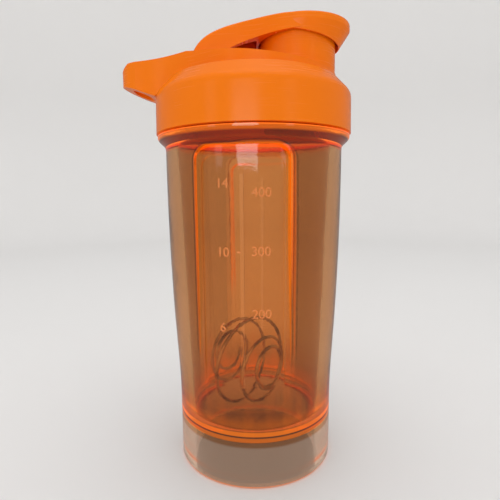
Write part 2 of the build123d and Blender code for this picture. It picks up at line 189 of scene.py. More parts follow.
class ShakerWhisk(bpy.types.PropertyGroup):
    turns: FloatProperty(name="Turns", description="Turns of the wire coil", default=5.0, min=1)
    radius: FloatProperty(
        name="Radius", description="Outside radius of the ball", default=23.0 * MM, unit="LENGTH")
    half_length: FloatProperty(
        name="Half Length", description="Half of the ball's length along its coil", default=16.5 * MM,
        unit="LENGTH")
    wire: FloatProperty(name="Wire", description="Thickness of the wire", default=1.7 * MM, unit="LENGTH")
    end_angle: FloatProperty(
        name="End Angle", description="Angle from the pole where the wire starts", default=radians(24),
        subtype="ANGLE", unit="ROTATION")
    facing: FloatProperty(
        name="Facing", description="Coil's axis, turned from +X towards -Y", default=radians(42),
        subtype="ANGLE", unit="ROTATION")
    dwell: FloatProperty(
        name="Dwell", description="How much the end turns close up on themselves", default=0.85, min=0, max=1)
    points: IntProperty(name="Points", description="Points along each turn", default=56, min=12)


class ShakerScale(bpy.types.PropertyGroup):
    height: FloatProperty(name="Height", description="Height of a numeral", default=4.1 * MM, unit="LENGTH")
    relief: FloatProperty(
        name="Relief", description="How far a numeral stands out of the panel", default=0.32 * MM,
        unit="LENGTH")


class ShakerStage(bpy.types.PropertyGroup):
    floor: FloatVectorProperty(
        name="Floor", description="Colour of the floor and backdrop", subtype="COLOR", size=3, min=0, max=1,
        default=(0.80, 0.79, 0.78))
    sky: FloatProperty(name="Sky", description="Brightness of the sky light", default=1.12, min=0)
    front_light: FloatProperty(
        name="Front Light", description="Power of the front soft box, in watts", default=2.2, min=0)


# ---------------------------------------------------------------- node helpers
def feed(tree, value, socket):
    """Links an output socket to an input, or sets the input's own value."""
    if isinstance(value, bpy.types.NodeSocket):
        tree.links.new(value, socket)
    else:
        socket.default_value = value


def add(tree, kind, inputs=None, **settings):
    """New node with its settings and inputs."""
    made = tree.nodes.new(kind)
    for name, value in settings.items():
        setattr(made, name, value)
    for key, value in (inputs or {}).items():
        feed(tree, value, made.inputs[key])
    return made


def calc(tree, operation, *values, clamp=False):
    """Result of a Math node."""
    made = tree.nodes.new("ShaderNodeMath")
    made.operation = operation
    made.use_clamp = clamp
    for place, value in enumerate(values):
        feed(tree, value, made.inputs[place])
    return made.outputs[0]


def rise(tree, value, low, high):
    """Smooth step from 0 at low to 1 at high. It falls if low is the larger."""
    return add(tree, "ShaderNodeMapRange", {"Value": value, "From Min": low, "From Max": high},
               interpolation_type="SMOOTHSTEP").outputs["Result"]


def pulse(tree, value, start, full, leave, end):
    """1 between full and leave, and 0 before start and after end."""
    return calc(tree, "MULTIPLY", rise(tree, value, start, full), rise(tree, value, end, leave))


def mix_colour(tree, mask, colour, other):
    """colour where mask is 0 and other where it is 1."""
    made = add(tree, "ShaderNodeMix", {0: mask, 6: colour, 7: other}, data_type="RGBA")
    return made.outputs[2]


def noise(tree, place, scale, detail=2.0, roughness=0.5):
    """Noise value from 0 to 1."""
    return add(tree, "ShaderNodeTexNoise", {
        "Vector": place, "Scale": scale, "Detail": detail, "Roughness": roughness}).outputs["Fac"]


def place_on_piece(tree):
    """The piece's own coordinates, in metres."""
    return add(tree, "ShaderNodeTexCoord").outputs["Object"]


def new_group(name, inputs, outputs):
    """Shader node group with float inputs and outputs. Returns it, its inputs and its outputs."""
    group = bpy.data.node_groups.new(name, "ShaderNodeTree")
    for label, value in inputs.items():
        group.interface.new_socket(label, in_out="INPUT", socket_type="NodeSocketFloat").default_value = value
    for label in outputs:
        group.interface.new_socket(label, in_out="OUTPUT", socket_type="NodeSocketFloat")
    return group, group.nodes.new("NodeGroupInput").outputs, group.nodes.new("NodeGroupOutput").inputs


def use_group(tree, name, **inputs):
    """Places a shared group in a material. Underscores in input names stand for spaces."""
    made = add(tree, "ShaderNodeGroup", node_tree=bpy.data.node_groups[name])
    for label, value in inputs.items():
        feed(tree, value, made.inputs[label.replace("_", " ")])
    return made.outputs


def new_material(name):
    """Material with a Principled shader. Returns it, its tree and the shader."""
    made = bpy.data.materials.new(name)
    made.use_nodes = True
    return made, made.node_tree, made.node_tree.nodes["Principled BSDF"]


def bump(tree, height, distance, strength=1.0):
    """Normal from a height."""
    return add(tree, "ShaderNodeBump", {
        "Height": height, "Distance": distance, "Strength": strength}).outputs["Normal"]


def opaque(colour):
    """Colour with a full alpha."""
    return (*colour, 1.0)


# ---------------------------------------------------------------- shared groups
def group_moulded_finish():
    """Roughness that drifts as moulded plastic's does, and the height of its slight orange peel."""
    group, given, out = new_group(
        "Moulded Finish", {"Base": 0.3, "Spread": 0.05, "Flow Scale": 45.0, "Grain Scale": 1300.0},
        ("Roughness", "Height"))
    place = place_on_piece(group)
    flow = noise(group, place, given["Flow Scale"], 3.0)
    grain = noise(group, place, given["Grain Scale"], 2.0)
    drift = calc(group, "MULTIPLY", calc(group, "SUBTRACT", flow, 0.5), 2.0)
    feed(group, calc(group, "MULTIPLY_ADD", drift, given["Spread"], given["Base"]), out["Roughness"])
    feed(group, calc(group, "MULTIPLY_ADD", flow, 2.0, calc(group, "MULTIPLY", grain, 0.25)), out["Height"])


def group_rub_marks():
    """Mask of fine straight rub marks, in patches."""
    group, given, out = new_group("Rub Marks", {"Scale": 40.0, "Amount": 0.5}, ("Mask",))
    place = place_on_piece(group)
    marks = None
    for turn, lean in ((0.4, 0.2), (1.9, -0.5), (2.8, 1.1)):
        stretched = add(group, "ShaderNodeMapping", {
            "Vector": place, "Rotation": (lean, turn, turn), "Scale": (1.0, 1.0, 38.0)}).outputs[0]
        streak = rise(group, noise(group, stretched, given["Scale"], 1.0), 0.66, 0.72)
        marks = streak if marks is None else calc(group, "MAXIMUM", marks, streak)
    patch = rise(group, noise(group, place, calc(group, "MULTIPLY", given["Scale"], 0.6), 2.0), 0.45, 0.62)
    feed(group, calc(group, "MULTIPLY", calc(group, "MULTIPLY", marks, patch), given["Amount"]), out["Mask"])


def outline_gap(tree, across, height, half_width, bottom, top, corner):
    """Distance from an upright rounded rectangle's outline, positive outside it."""
    middle = calc(tree, "MULTIPLY", calc(tree, "ADD", top, bottom), 0.5)
    half_height = calc(tree, "MULTIPLY", calc(tree, "SUBTRACT", top, bottom), 0.5)
    from_side = calc(tree, "ADD", calc(tree, "SUBTRACT", calc(tree, "ABSOLUTE", across), half_width), corner)
    from_end = calc(tree, "ADD", calc(tree, "SUBTRACT", calc(
        tree, "ABSOLUTE", calc(tree, "SUBTRACT", height, middle)), half_height), corner)
    side_out, end_out = (calc(tree, "MAXIMUM", value, 0.0) for value in (from_side, from_end))
    corner_out = calc(tree, "SQRT", calc(
        tree, "MULTIPLY_ADD", side_out, side_out, calc(tree, "MULTIPLY", end_out, end_out)))
    within = calc(tree, "MINIMUM", calc(tree, "MAXIMUM", from_side, from_end), 0.0)
    return calc(tree, "SUBTRACT", calc(tree, "ADD", corner_out, within), corner)


def group_window_glow():
    """Masks of the windows: light painted in the frame and the step, shade painted in the dark line round it, the
    panel, and a highlight painted along the rib.
    """
    group, given, out = new_group("Window Glow", {
        "Turn": 0.0, "Half Width": 0.02, "Bottom": 0.03, "Top": 0.15, "Corner": 0.006,
        "Step Half Width": 0.017, "Step Bottom": 0.036, "Step Top": 0.146, "Step Corner": 0.005,
        "Rib Half Width": 0.0009, "Rib Bottom": 0.048, "Rib Top": 0.139,
        "Fade Low": 0.055, "Fade High": 0.125,
    }, ("Frame", "Outline", "Step", "Panel", "Rib"))
    x, y, z = add(group, "ShaderNodeSeparateXYZ", {0: place_on_piece(group)}).outputs
    cosine, sine = (calc(group, kind, given["Turn"]) for kind in ("COSINE", "SINE"))
    across = calc(group, "MULTIPLY_ADD", y, sine, calc(group, "MULTIPLY", x, cosine))
    depth = calc(group, "SUBTRACT", calc(group, "MULTIPLY", y, cosine), calc(group, "MULTIPLY", x, sine))
    front = calc(group, "LESS_THAN", depth, 0.0)
    back = calc(group, "SUBTRACT", 1.0, front)
    gap = outline_gap(group, across, z, given["Half Width"], given["Bottom"], given["Top"], given["Corner"])
    # the painted lit band: broad on one side of the front frame, thin on the other, and gone low down
    taper = rise(group, z, given["Fade Low"], given["Fade High"])
    right = calc(group, "MULTIPLY", rise(group, across, -0.004, 0.004), taper)
    near_top = rise(group, z, calc(group, "SUBTRACT", given["Top"], 0.004), given["Top"])
    inner = calc(group, "MAXIMUM", calc(group, "MULTIPLY_ADD", right, 0.0012, 0.00015), calc(
        group, "MULTIPLY", near_top, 0.0012))
    reach = calc(group, "MULTIPLY_ADD", right, 0.0006, 0.0001)
    band = calc(group, "MULTIPLY", rise(group, calc(group, "ADD", gap, inner), -0.0002, 0.0001),
                rise(group, calc(group, "SUBTRACT", reach, gap), -0.0002, 0.0002))
    upper = rise(group, z, given["Fade Low"], calc(group, "ADD", given["Fade Low"], 0.01))
    share = calc(group, "MULTIPLY_ADD", front, 0.8, 0.2)
    feed(group, calc(group, "MULTIPLY", calc(group, "MULTIPLY", band, upper), share), out["Frame"])
    beyond = calc(group, "SUBTRACT", gap, reach)
    line = pulse(group, beyond, 0.0002, 0.0004, 0.0006, 0.0010)
    feed(group, calc(group, "MULTIPLY", calc(group, "MULTIPLY", line, upper), front), out["Outline"])
    step_gap = outline_gap(group, across, z, given["Step Half Width"], given["Step Bottom"],
                           given["Step Top"], given["Step Corner"])
    step = pulse(group, step_gap, -0.0008, -0.0004, 0.0004, 0.0008)
    back_left = calc(group, "MULTIPLY_ADD", rise(group, across, 0.0, -0.012), 0.8, 0.2)
    far_fade = calc(group, "MULTIPLY", back_left, rise(group, z, 0.066, 0.086))
    weight = calc(group, "MULTIPLY_ADD", back, far_fade, calc(group, "MULTIPLY", front, 0.10))
    feed(group, calc(group, "MULTIPLY", step, weight), out["Step"])
    feed(group, rise(group, gap, 0.0002, -0.0002), out["Panel"])
    radius = calc(group, "SQRT", calc(group, "MULTIPLY_ADD", x, x, calc(group, "MULTIPLY", y, y)))
    from_middle = calc(group, "SUBTRACT", calc(group, "ABSOLUTE", across), given["Rib Half Width"])
    rib = calc(group, "MULTIPLY", rise(group, from_middle, 0.0002, -0.0001),
               rise(group, radius, RIB_FOOT, RIB_FULL))
    rib = calc(group, "MULTIPLY", rib, calc(group, "MULTIPLY", rise(
        group, calc(group, "SUBTRACT", z, given["Rib Bottom"]), -0.0004, 0.0004), rise(
        group, calc(group, "SUBTRACT", given["Rib Top"], z), -0.0004, 0.0004)))
    feed(group, rib, out["Rib"])


def group_ring_light():
    """Masks where light is painted on the cup's floor, its bottom edge, its low walls and its shoulder, where
    shade is painted in a dark line, and of the floor disc, the low wall and the foot.
    """
    group, given, out = new_group("Ring Light", {"Floor Low": 0.0198, "Floor High": 0.023, "Shoulder": 0.151},
                                  ("Floor", "Edge", "Streaks", "Shoulder", "Rim", "Low Wall", "Foot", "Disc",
                                   "Band", "Painted Shade Line", "Bright Line", "Side"))
    place = place_on_piece(group)
    x, y, z = add(group, "ShaderNodeSeparateXYZ", {0: place}).outputs
    radius = calc(group, "SQRT", calc(group, "MULTIPLY_ADD", x, x, calc(group, "MULTIPLY", y, y)))
    above = calc(group, "SUBTRACT", z, given["Floor High"])
    inside = calc(group, "MULTIPLY", pulse(group, above, -0.0036, -0.0030, 0.0004, 0.0022), calc(
        group, "MULTIPLY", rise(group, radius, FLOOR_RING, FLOOR_RING_FULL),
        rise(group, radius, OUTER_SKIN, OUTER_SKIN_START)))
    feed(group, inside, out["Floor"])
    outer = rise(group, radius, OUTER_SKIN_START, OUTER_SKIN)
    feed(group, calc(group, "MULTIPLY", outer, pulse(
        group, above, -0.0012, -0.0007, 0.0008, 0.0012)), out["Band"])
    feed(group, calc(group, "MULTIPLY", outer, pulse(
        group, above, 0.0010, 0.0013, 0.0016, 0.0019)), out["Painted Shade Line"])
    feed(group, calc(group, "MULTIPLY", outer, pulse(
        group, above, 0.0017, 0.0020, 0.0034, 0.0042)), out["Bright Line"])
    feed(group, calc(group, "MULTIPLY", outer, pulse(
        group, above, 0.0030, 0.0045, 0.0060, 0.0125)), out["Side"])
    disc = pulse(group, above, -0.0006, -0.0002, 0.0002, 0.0006)
    feed(group, calc(group, "MULTIPLY", disc, rise(group, radius, FLOOR_DISC_END, FLOOR_DISC)), out["Disc"])
    feed(group, rise(group, above, 0.034, 0.006), out["Low Wall"])
    feed(group, rise(group, calc(group, "SUBTRACT", z, given["Floor Low"]), 0.0004, -0.0010), out["Foot"])
    past_shoulder = calc(group, "SUBTRACT", z, given["Shoulder"])
    rim = pulse(group, past_shoulder, 0.0040, 0.0050, 0.0068, 0.0072)
    feed(group, calc(group, "MULTIPLY", rim, rise(group, radius, RIM_START, RIM_FULL)), out["Rim"])
    feed(group, calc(group, "MULTIPLY", rise(group, z, 0.0014, 0.0007), rise(
        group, radius, EDGE_START, EDGE_FULL)), out["Edge"])
    # upright streaks of painted light: noise that runs along the wall
    drawn = add(group, "ShaderNodeMapping", {"Vector": place, "Scale": (1.0, 1.0, 0.04)}).outputs[0]
    streak = rise(group, noise(group, drawn, 150.0, 2.0), 0.48, 0.66)
    low_wall = pulse(group, above, 0.0, 0.004, 0.008, 0.032)
    feed(group, calc(group, "MULTIPLY", streak, low_wall), out["Streaks"])
    feed(group, rise(group, past_shoulder, -0.0006, 0.0012), out["Shoulder"])


# ---------------------------------------------------------------- materials
def clear_plastic(cup):
    """The cup's clear tinted plastic, with glow and shade painted on its edges."""
    made, tree, shader = new_material("clear_tinted_plastic")
    window = use_group(
        tree, "Window Glow", Turn=WINDOW_TURN, Half_Width=WINDOW_HALF_WIDTH, Bottom=WINDOW_BOTTOM,
        Top=WINDOW_TOP, Corner=WINDOW_CORNER, Step_Half_Width=STEP_HALF_WIDTH, Step_Bottom=STEP_BOTTOM,
        Step_Top=STEP_TOP, Step_Corner=STEP_CORNER, Rib_Half_Width=RIB_HALF_WIDTH, Rib_Bottom=RIB_BOTTOM,
        Rib_Top=RIB_TOP)
    ring = use_group(tree, "Ring Light", Floor_Low=FLOOR_LOW, Floor_High=FLOOR_HIGH, Shoulder=BODY_TOP)
    finish = use_group(tree, "Moulded Finish", Base=0.045, Spread=0.02, Flow_Scale=38.0, Grain_Scale=700.0)
    rub = use_group(tree, "Rub Marks", Scale=34.0, Amount=0.05)["Mask"]
    # glow painted on the edges, given off as emission
    light = None
    for mask, share in ((window["Frame"], 0.24), (window["Step"], 0.20), (window["Rib"], 0.05),
                        (ring["Floor"], 0.08), (ring["Edge"], 0.16), (ring["Streaks"], 0.05),
                        (ring["Rim"], 0.46), (ring["Shoulder"], 0.04), (ring["Band"], 0.25),
                        (ring["Bright Line"], 0.46), (ring["Side"], 0.15)):
        light = calc(tree, "MULTIPLY_ADD", mask, share, 0.0 if light is None else light)
    shine = mix_colour(tree, light, NO_LIGHT, opaque(cup.glow))
    # light painted on the foot and on the floor, given off as emission
    shine = mix_colour(tree, ring["Foot"], shine, FOOT_PAINTED_LIGHT)
    shine = mix_colour(tree, ring["Disc"], shine, FLOOR_PAINTED_LIGHT)
    feed(tree, mix_colour(tree, ring["Edge"], shine, EDGE_PAINTED_GLOW), shader.inputs["Emission Color"])
    shader.inputs["Emission Strength"].default_value = 1.0
    # tint of each zone, a highlight painted on the rib and shade painted in the dark lines, then the edges painted
    # over in their glow colour, so that they show only their glow
    cloud = noise(tree, place_on_piece(tree), 30.0, 3.0)
    body = mix_colour(tree, cloud, opaque(cup.tint), opaque(tuple(0.94 * tone for tone in cup.tint)))
    body = mix_colour(tree, window["Panel"], body, opaque(cup.panel_tint))
    # the shoulder's tint holds orange light painted in from the lid
    for mask, tint in ((ring["Low Wall"], cup.low_tint), (ring["Foot"], cup.foot_tint),
                       (ring["Shoulder"], cup.shoulder_tint_and_light), (ring["Disc"], DISC_TINT)):
        body = mix_colour(tree, mask, body, opaque(tint))
    # highlight painted along the rib
    body = mix_colour(tree, window["Rib"], body, RIB_TINT_AND_HIGHLIGHT)
    # shade painted in the dark line round the window
    body = mix_colour(tree, window["Outline"], body, OUTLINE_PAINTED_SHADE)
    # shade painted in the dark line above the floor
    body = mix_colour(tree, ring["Painted Shade Line"], body, GAP_PAINTED_SHADE)
    # edges painted in the glow colour
    for mask, share in ((window["Frame"], 0.95), (window["Step"], 0.8), (ring["Floor"], 0.45),
                        (ring["Edge"], 0.6), (ring["Streaks"], 0.25), (ring["Rim"], 0.9),
                        (ring["Band"], 0.9), (ring["Bright Line"], 0.9), (ring["Side"], 0.4)):
        body = mix_colour(tree, calc(tree, "MULTIPLY", mask, share), body, opaque(cup.glow))
    feed(tree, body, shader.inputs["Base Color"])
    feed(tree, calc(tree, "ADD", finish["Roughness"], rub, clamp=True), shader.inputs["Roughness"])
    feed(tree, bump(tree, finish["Height"], 0.00006), shader.inputs["Normal"])
    shader.inputs["Transmission Weight"].default_value = 1.0
    shader.inputs["IOR"].default_value = PLASTIC_IOR
    depth = add(tree, "ShaderNodeVolumeAbsorption", {
        "Color": opaque(cup.depth_colour), "Density": cup.depth_density})
    tree.links.new(depth.outputs[0], tree.nodes["Material Output"].inputs["Volume"])
    return made


def moulded_plastic(name, colour, base_roughness, flow_scale):
    """Opaque moulded plastic with drifting gloss, fine orange peel, rub marks and a faintly uneven colour."""
    made, tree, shader = new_material(name)
    finish = use_group(tree, "Moulded Finish", Base=base_roughness, Spread=0.07, Flow_Scale=flow_scale,
                       Grain_Scale=1500.0)
    rub = use_group(tree, "Rub Marks", Scale=48.0, Amount=0.16)["Mask"]
    cloud = noise(tree, place_on_piece(tree), 26.0, 3.0)
    deep = tuple(share * tone for share, tone in zip((0.94, 0.86, 0.8), colour))
    body = mix_colour(tree, cloud, opaque(colour), opaque(deep))
    pale = tuple(min(1.0, tone * 1.02 + 0.02) for tone in colour)
    feed(tree, mix_colour(tree, rub, body, opaque(pale)), shader.inputs["Base Color"])
    feed(tree, calc(tree, "ADD", finish["Roughness"], rub, clamp=True), shader.inputs["Roughness"])
    feed(tree, bump(tree, finish["Height"], 0.00003), shader.inputs["Normal"])
    shader.inputs["Specular IOR Level"].default_value = 0.18
    return made


def silicone(name, colour):
    """Soft matt silicone with dusty patches."""
    made, tree, shader = new_material(name)
    finish = use_group(tree, "Moulded Finish", Base=0.55, Spread=0.1, Flow_Scale=90.0, Grain_Scale=2200.0)
    dust = rise(tree, noise(tree, place_on_piece(tree), 160.0, 4.0), 0.5, 0.75)
    feed(tree, mix_colour(tree, dust, opaque(colour), opaque(tuple(
        min(1.0, 0.9 * tone + 0.12) for tone in colour))), shader.inputs["Base Color"])
    feed(tree, finish["Roughness"], shader.inputs["Roughness"])
    feed(tree, bump(tree, finish["Height"], 0.00003), shader.inputs["Normal"])
    shader.inputs["Subsurface Weight"].default_value = 0.15
    shader.inputs["Subsurface Scale"].default_value = 0.0015
    return made


def drawn_steel():
    """Drawn wire: fine lines, polished patches and darker, slightly warm patches painted in as dark reflections.
    """
    made, tree, shader = new_material("drawn_steel")
    place = place_on_piece(tree)
    lines = noise(tree, add(tree, "ShaderNodeMapping", {
        "Vector": place, "Rotation": (0.0, 0.0, radians(48)), "Scale": (1.0, 8.0, 8.0)}).outputs[0], 420.0, 2.0)
    patch = noise(tree, place, 120.0, 3.0)
    # dark patches painted in as reflections of dark surroundings
    dark_reflection = rise(tree, patch, 0.42, 0.7)
    feed(tree, mix_colour(tree, dark_reflection, STEEL_BRIGHT, STEEL_DARK_REFLECTION), shader.inputs["Base Color"])
    feed(tree, calc(tree, "MULTIPLY_ADD", patch, 0.16, calc(tree, "MULTIPLY_ADD", lines, 0.10, 0.06)),
         shader.inputs["Roughness"])
    feed(tree, bump(tree, lines, 0.00002), shader.inputs["Normal"])
    shader.inputs["Metallic"].default_value = 1.0
    return made


def raised_mark(glow, relief):
    """Clear raised numerals, shown by a warm glow painted along their edges."""
    made, tree, shader = new_material("raised_mark")
    x, y, _ = add(tree, "ShaderNodeSeparateXYZ", {0: place_on_piece(tree)}).outputs
    radius = calc(tree, "SQRT", calc(tree, "MULTIPLY_ADD", x, x, calc(tree, "MULTIPLY", y, y)))
    top = PANEL_RADIUS + relief
    edge = rise(tree, radius, top - 0.02 * MM, top - 0.05 * MM)
    wear = noise(tree, place_on_piece(tree), 900.0, 2.0)
    # warm colour and edge glow painted on the numerals
    feed(tree, mix_colour(tree, wear, opaque(glow), opaque(tuple(0.8 * tone for tone in glow))),
         shader.inputs["Base Color"])
    feed(tree, mix_colour(tree, edge, NO_LIGHT, MARK_EDGE_PAINTED_GLOW), shader.inputs["Emission Color"])
    shader.inputs["Emission Strength"].default_value = 1.0
    feed(tree, calc(tree, "MULTIPLY_ADD", edge, 0.56, 0.05), shader.inputs["Alpha"])
    feed(tree, calc(tree, "MULTIPLY_ADD", wear, 0.1, 0.15), shader.inputs["Roughness"])
    return made


def stage_paint(colour):
    """Matt pale paint with a faint mottle."""
    made, tree, shader = new_material("pale_backdrop")
    mottle = noise(tree, place_on_piece(tree), 9.0, 4.0)
    feed(tree, mix_colour(tree, mottle, opaque(colour), opaque(tuple(0.985 * tone for tone in colour))),
         shader.inputs["Base Color"])
    shader.inputs["Roughness"].default_value = 0.7
    return made


def paint(node, material):
    """Gives a CAD node its finish in every material slot."""
    for place in range(len(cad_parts[node].material_slots)):
        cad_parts[node].material_slots[place].material = material


# ---------------------------------------------------------------- mesh helpers
def link(obj):
    bpy.context.scene.collection.objects.link(obj)
    return obj


def plain_mesh(obj):
    """The evaluated object as a mesh."""
    bpy.context.view_layer.update()
    shown = bpy.context.evaluated_depsgraph_get()
    return bpy.data.meshes.new_from_object(obj.evaluated_get(shown), depsgraph=shown)


def numeral(text, height, relief):
    """Raised text of that height as bmesh: its middle left at the origin, facing +Z, its foot below z 0."""
    curve = bpy.data.curves.new(text, "FONT")
    curve.body = text
    curve.size = height / CAPITAL_SHARE
    curve.align_y = "CENTER"
    curve.bevel_depth = 0.6 * relief
    curve.offset = -0.6 * relief
    curve.extrude = 0.8 * relief
    curve.resolution_u = 6
    writing = link(bpy.data.objects.new(text, curve))
    mesh = plain_mesh(writing)
    bpy.data.objects.remove(writing)
    shape = bmesh.new()
    shape.from_mesh(mesh)
    bpy.data.meshes.remove(mesh)
    bmesh.ops.remove_doubles(shape, verts=shape.verts, dist=1e-7)
    top = max(vert.co.z for vert in shape.verts)
    low_y, high_y = (pick(vert.co.y for vert in shape.verts) for pick in (min, max))
    start = min(vert.co.x for vert in shape.verts)
    for vert in shape.verts:
        vert.co += Vector((-start, -(low_y + high_y) / 2, relief - top))
    return shape


def tick(width, thickness, relief):
    """Short raised bar with chamfered edges, as bmesh."""
    shape = bmesh.new()
    bmesh.ops.create_cube(shape, size=1)
    bmesh.ops.scale(shape, vec=(width, thickness, 2 * relief), verts=shape.verts)
    bmesh.ops.bevel(shape, geom=shape.edges[:], offset=0.5 * relief, segments=2, affect="EDGES")
    for vert in shape.verts:
        vert.co.x += width / 2
    return shape


def wrap_on_cup(shape, azimuth, height, radius):
    """Bends flat marks onto the cup: x runs round it from azimuth, y becomes height, z stands out of it."""
    reach = max(vert.co.x for vert in shape.verts)
    cut = WRAP_STEP
    while cut < reach:
        bmesh.ops.bisect_plane(shape, geom=shape.verts[:] + shape.edges[:] + shape.faces[:],
                               plane_co=(cut, 0, 0), plane_no=(1, 0, 0))
        cut += WRAP_STEP
    for vert in shape.verts:
        around = azimuth + vert.co.x / radius
        out = radius + vert.co.z
        vert.co = Vector((out * sin(around), -out * cos(around), height + vert.co.y))
    return shape


# ---------------------------------------------------------------- operators
class SHAKER_OT_groups(bpy.types.Operator):
    """Builds the node groups that the materials share"""
    bl_idname = "shaker.groups"
    bl_label = "Shared Groups"

    def execute(self, context):
        group_moulded_finish()
        group_rub_marks()
        group_window_glow()
        group_ring_light()
        return {"FINISHED"}


class SHAKER_OT_cup(bpy.types.Operator):
    """Gives the cup its clear tinted plastic"""
    bl_idname = "shaker.cup"
    bl_label = "Cup"

    def execute(self, context):
        paint("cup", clear_plastic(context.scene.shaker_cup))
        return {"FINISHED"}


class SHAKER_OT_lid(bpy.types.Operator):
    """Gives the lid and the flip cap their opaque moulded plastic"""
    bl_idname = "shaker.lid"
    bl_label = "Lid and Flip Cap"

    def execute(self, context):
        colour = tuple(context.scene.shaker_lid.colour)
        paint("lid", moulded_plastic("lid_moulding", colour, 0.22, 42.0))
        paint("flip_cap", moulded_plastic("cap_moulding", colour, 0.20, 55.0))
        return {"FINISHED"}


class SHAKER_OT_seals(bpy.types.Operator):
    """Gives the lid gasket and the spout seal their silicone"""
    bl_idname = "shaker.seals"
    bl_label = "Seals"

    def execute(self, context):
        colour = tuple(context.scene.shaker_lid.seal)
        paint("lid_gasket", silicone("gasket_silicone", colour))
        paint("spout_seal", silicone("seal_silicone", colour))
        return {"FINISHED"}


class SHAKER_OT_whisk(bpy.types.Operator):
    """Winds the wire whisk ball with Geometry Nodes and stands it in for the CAD ball"""
    bl_idname = "shaker.whisk"
    bl_label = "Whisk Ball"

    def execute(self, context):
        whisk = context.scene.shaker_whisk
        tree = bpy.data.node_groups.new("Wire Ball", "GeometryNodeTree")
        kinds = {"Turns": "Float", "Points": "Int", "Out": "Float", "Along": "Float", "Dwell": "Float",
                 "End Angle": "Float", "Wire Radius": "Float", "Facing": "Float", "Centre": "Vector",
                 "Finish": "Material"}
        sockets = {name: tree.interface.new_socket(name, in_out="INPUT", socket_type="NodeSocket" + kind)
                   for name, kind in kinds.items()}
        tree.interface.new_socket("Geometry", in_out="OUTPUT", socket_type="NodeSocketGeometry")
        given = tree.nodes.new("NodeGroupInput").outputs
        line = add(tree, "GeometryNodeCurvePrimitiveLine", {"Start": (0, 0, 0), "End": (1, 0, 0)})
        even = add(tree, "GeometryNodeResampleCurve", {"Curve": line.outputs[0], "Count": given["Points"]})
        share = add(tree, "GeometryNodeSplineParameter").outputs["Factor"]
        sweep = calc(tree, "SUBTRACT", pi, calc(tree, "MULTIPLY", given["End Angle"], 2.0))
        wave = calc(tree, "SINE", calc(tree, "MULTIPLY", share, 2 * pi))
        eased = calc(tree, "SUBTRACT", share, calc(
            tree, "MULTIPLY", wave, calc(tree, "DIVIDE", given["Dwell"], 2 * pi)))
        polar = calc(tree, "MULTIPLY_ADD", eased, sweep, given["End Angle"])
        spin = calc(tree, "MULTIPLY", calc(tree, "MULTIPLY", share, given["Turns"]), 2 * pi)
        along = calc(tree, "MULTIPLY", given["Along"], calc(tree, "COSINE", polar))
        out = calc(tree, "MULTIPLY", given["Out"], calc(tree, "SINE", polar))
        shell = add(tree, "ShaderNodeCombineXYZ", {
            0: along, 1: calc(tree, "MULTIPLY", out, calc(tree, "COSINE", spin)),
            2: calc(tree, "MULTIPLY", out, calc(tree, "SINE", spin))})
        coil = add(tree, "GeometryNodeSetPosition", {"Geometry": even.outputs[0], "Position": shell.outputs[0]})
        profile = add(tree, "GeometryNodeCurvePrimitiveCircle", {"Resolution": 14, "Radius": given["Wire Radius"]})
        wire = add(tree, "GeometryNodeCurveToMesh", {
            "Curve": coil.outputs[0], "Profile Curve": profile.outputs[0], "Fill Caps": True})
        smooth = add(tree, "GeometryNodeSetShadeSmooth", {0: wire.outputs[0]})
        turned = add(tree, "ShaderNodeCombineXYZ", {2: calc(tree, "MULTIPLY", given["Facing"], -1.0)})
        placed = add(tree, "GeometryNodeTransform", {
            "Geometry": smooth.outputs[0], "Translation": given["Centre"], "Rotation": turned.outputs[0]})
        real = add(tree, "GeometryNodeRealizeInstances", {0: placed.outputs[0]})
        done = add(tree, "GeometryNodeSetMaterial", {"Geometry": real.outputs[0], "Material": given["Finish"]})
        tree.links.new(done.outputs[0], tree.nodes.new("NodeGroupOutput").inputs[0])

        wound = link(bpy.data.objects.new("whisk_wire", bpy.data.meshes.new("whisk_wire")))
        maker = wound.modifiers.new("Wire Ball", "NODES")
        maker.node_group = tree
        centre = tuple((low + high) / 2 for low, high in zip(ball_low, ball_high))
        values = {"Turns": whisk.turns, "Points": round(whisk.turns * whisk.points) + 1,
                  "Out": whisk.radius - whisk.wire / 2, "Along": whisk.half_length - whisk.wire / 2,
                  "Dwell": whisk.dwell, "End Angle": whisk.end_angle, "Wire Radius": whisk.wire / 2,
                  "Facing": whisk.facing, "Centre": centre, "Finish": drawn_steel()}
        for name, value in values.items():
            maker[sockets[name].identifier] = value
        mesh = plain_mesh(wound)
        wound.modifiers.clear()
        wound.data = mesh
        if not mesh.polygons:
            raise RuntimeError("the wire ball has no faces")
        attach(wound, "whisk_ball")
        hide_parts("whisk_ball")
        return {"FINISHED"}


class SHAKER_OT_scale(bpy.types.Operator):
    """Raises the measuring scale's numerals on the front window's panel"""
    bl_idname = "shaker.scale"
    bl_label = "Scale"

    def execute(self, context):
        marks = context.scene.shaker_scale
        finish = raised_mark(MARK_TINT_AND_GLOW, marks.relief)
        for name, (azimuth, rows) in SCALE_COLUMNS.items():
            whole = bmesh.new()
            pieces = [(numeral(text, marks.height, marks.relief), azimuth, height) for text, height in rows]
            if name == "scale_ounces":
                bar = tick(TICK_WIDTH, TICK_THICKNESS, marks.relief)
                pieces.append((bar, azimuth + TICK_TURN, TICK_HEIGHT))
            for shape, turn, height in pieces:
                wrap_on_cup(shape, radians(turn), height * MM, PANEL_RADIUS)
                part = bpy.data.meshes.new("part")
                shape.to_mesh(part)
                shape.free()
                whole.from_mesh(part)
                bpy.data.meshes.remove(part)
            bmesh.ops.recalc_face_normals(whole, faces=whole.faces)
            mesh = bpy.data.meshes.new(name)
            whole.to_mesh(mesh)
            whole.free()
            mesh.materials.append(finish)
            raised = link(bpy.data.objects.new(name, mesh))
            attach(raised, "cup")
        return {"FINISHED"}


